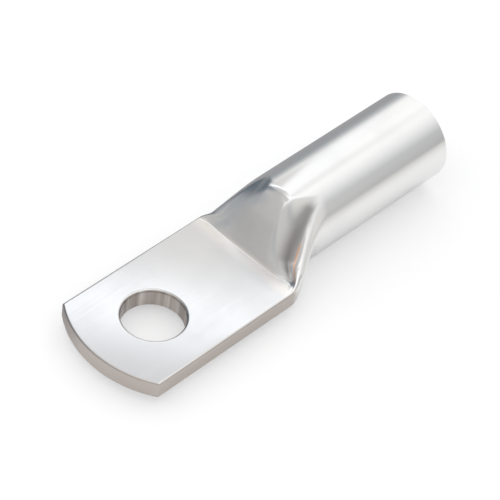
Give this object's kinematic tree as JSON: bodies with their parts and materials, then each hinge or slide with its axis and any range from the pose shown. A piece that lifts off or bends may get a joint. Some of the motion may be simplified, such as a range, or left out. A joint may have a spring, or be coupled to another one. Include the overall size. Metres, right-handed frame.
{
  "type": "copper cable lug",
  "caption": "Tinned copper tube lug: a flat palm with a stud hole at one end and a round open barrel that is crimped onto a stranded cable.",
  "frame": {"origin": "centre of the stud hole on the palm's contact face, which is its flat underside", "axes": "+X along the lug from the palm towards the barrel mouth, +Z square to the palm and up, +Y across the palm"},
  "size_m": [0.0732, 0.022, 0.0158],
  "materials": {
    "tinned_copper": "bright electro-tinned skin over copper, lightly drawn along the tube"
  },
  "bodies": {
    "root": {"cable_lug": "tinned_copper"}
  },
  "joints": []
}
